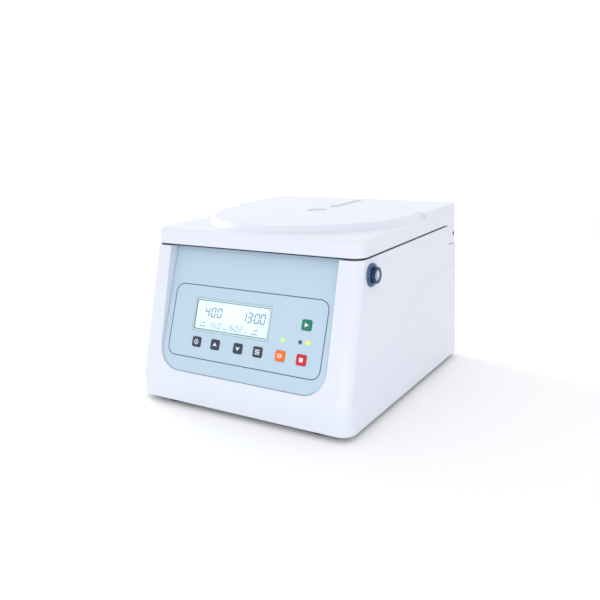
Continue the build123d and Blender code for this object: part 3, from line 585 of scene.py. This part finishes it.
def lcd_reading():
    """Speed and time in large numerals over a row of small marks, and the pale border of the screen."""
    shapes = []
    for digit, x in ((4, -56.0), (0, -47.0), (0, -38.0), (1, -1.9), (3, 6.0), (0, 16.2), (0, 24.4)):
        shapes += shifted(seven_segment(digit, 5.4, 10.8, 1.35), x, 76.0)
    for s in (73.6, 78.4):
        shapes.append(circle(0.8, 12, (11.2, s)))
    for digit, x in ((1, -49.5), (5, -43.6), (0, -36.4), (6, -17.6), (0, -11.0), (2, -4.4)):
        shapes += shifted(seven_segment(digit, 3.6, 6.6, 0.7), x, 61.0)
    dashes = (
        (-61.5, 10.0, 58.4), (-28.0, 3.0, 58.2), (3.0, 3.0, 58.2), (15.5, 10.0, 57.6), (17.5, 7.0, 62.4),
    )
    for x, length, s in dashes:
        shapes.append(round_box(length, 0.9, 0.3, 3, (x, s)))
    for i in range(4):
        shapes.append(round_box(0.9, 1.0 + 0.7 * i, 0.2, 2, (-64.2 + 1.8 * i, 61.6 + 0.35 * i)))
    mesh = flat_mesh(shapes, FINE_INK)
    add_piece("lcd_reading", mesh, panel_place(0, 0, GLASS_FACE), "base", "lcd_ink")

    middle = (sum(LCD_X) / 2, sum(LCD_S) / 2)
    w = LCD_X[1] - LCD_X[0]
    h = LCD_S[1] - LCD_S[0]
    mesh = flat_mesh([round_box(w - 0.8, h - 0.8, 1.3), round_box(w - 4.0, h - 4.0, 0.8)], FINE_INK)
    add_piece("lcd_border", mesh, panel_place(*middle, GLASS_FACE), "base", "lcd_edge")


def key_marks():
    """A plain white symbol on each key; it moves with the key."""
    triangle = [(-2.2, -2.6), (2.8, 0.0), (-2.2, 2.6)]
    chevron = [(-3.0, -1.6), (0.0, 1.4), (3.0, -1.6), (3.0, 0.3), (0.0, 3.3), (-3.0, 0.3)]
    arrow_up = [(-3.2, -2.2), (0.0, 2.6), (3.2, -2.2), (0.0, -0.8)]
    marks = {
        "key_set": [circle(3.1), circle(2.3), circle(1.0, 20)],
        "key_up": [arrow_up],
        "key_down": [[(x, -y) for x, y in arrow_up]],
        "key_mode": [round_box(6.6, 1.1, 0.4, 3, (0.0, y)) for y in (-2.2, 0.0, 2.2)],
        "key_pulse": [[(y * 0.8 + dx, -x * 0.8) for x, y in chevron] for dx in (-2.8, 0.4)],
        "key_stop": [round_box(4.8, 4.8, 0.5, 3)],
        "key_start": [triangle],
    }
    for name, (x, s) in KEYS.items():
        mesh = flat_mesh(marks[name], FINE_INK)
        add_piece("mark_" + name, mesh, panel_place(x, s, KEY_FACE), name, "ink_white")


def rotor_marks():
    """A number beside each place of the rotor, on its dished top."""
    axis = Matrix.Translation((0.0, AXIS_Y * MM, (DISH_Z + FOOT_H) * MM))
    reach = Matrix.Translation((DISH_R * MM, 0.0, 0.0))
    slope = Matrix.Rotation(-DISH_TILT, 4, "Y")
    along = Matrix.Translation((NUMBER_REACH * MM, 0.0, 0.02 * MM))
    quarter = Matrix.Rotation(-pi / 2, 4, "Z")
    for i in range(ROTOR_PLACES):
        turn = Matrix.Rotation(2 * pi * (i + 0.5) / ROTOR_PLACES, 4, "Z")
        place = axis @ turn @ reach @ slope @ along @ quarter
        number = seven_segment(i + 1, NUMBER_SIZE * 0.5, NUMBER_SIZE, NUMBER_SIZE * 0.15)
        add_piece(f"place_number_{i + 1}", flat_mesh(number, INK), place, "rotor", "ink_black")


def rocker_marks():
    """The usual bar and ring on the two halves of the power switch."""
    low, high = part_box("power_rocker")
    middle_x = (low.x + high.x) / 2
    pivot = Matrix.Translation((middle_x, ROCKER_PIVOT_Y * MM, (ROCKER_Z + FOOT_H) * MM))
    tilt = Matrix.Rotation(ROCKER_LEAN, 4, "X")
    face = Matrix.Rotation(pi / 2, 4, "X") @ Matrix.Rotation(pi, 4, "Y")
    bar = [round_box(0.9, 3.4, 0.3, 3)]
    ring = [circle(1.7), circle(1.1)]
    for name, outline, s in (("on", bar, ROCKER_MARK_S), ("off", ring, -ROCKER_MARK_S)):
        mesh = flat_mesh(outline, INK)
        place = pivot @ tilt @ Matrix.Translation((0.0, ROCKER_FACE * MM, s * MM)) @ face
        add_piece("rocker_" + name, mesh, place, "power_rocker", "ink_white")


def led_lenses():
    """A domed lens for each light."""
    for name, (slot, x, s) in LEDS.items():
        dome = lathe([(2.35, -6.0), (2.35, 0.15), (2.2, 0.45), (1.7, 0.75), (0.9, 0.95), (0.0, 1.0)])
        piece = add_piece("lens_" + name[4:], dome, panel_place(x, s), "base", slot)
        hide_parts(name)


def add_floor():
    """A plain pale disc under the feet."""
    mesh = flat_mesh([circle(FLOOR_R, 96)], FLOOR_T)
    look = Look("floor")
    base = linear((251, 251, 252))
    look.colour(look.spread(look.noise(3.0), 0.0, 1.0), shade(base, 0.995), base)
    look.roughness(look.noise(5.0), 0.85, 0.95)
    mesh.materials.clear()
    mesh.materials.append(look.material)
    floor = bpy.data.objects.new("floor", mesh)
    floor.location = (0.0, 0.0, -FLOOR_T - 0.0002)
    bpy.context.scene.collection.objects.link(floor)


# ---------------------------------------------------------------- build
dress_cad_nodes()
set_camera()
set_world(0.9, (-0.1, 0.14, 0.08))
soft_light("key", (0.9, -1.7, 1.3), (0.0, 0.0, 0.1), (1.4, 1.0), 7.0)
soft_light("left", (-2.0, 0.5, 0.8), (0.0, 0.0, 0.2), (0.8, 0.6), 16.0)
soft_light("low_front", (0.5, -1.6, 0.13), (0.0, 0.0, 0.0), (2.4, 0.16), 3.9)
soft_light("low_side", (1.7, 0.1, 0.13), (0.0, 0.0, 0.0), (1.6, 0.16), 0.4)
bpy.context.scene.view_settings.view_transform = "Standard"
add_floor()
panel_line()
lcd_reading()
key_marks()
led_lenses()
rotor_marks()
rocker_marks()
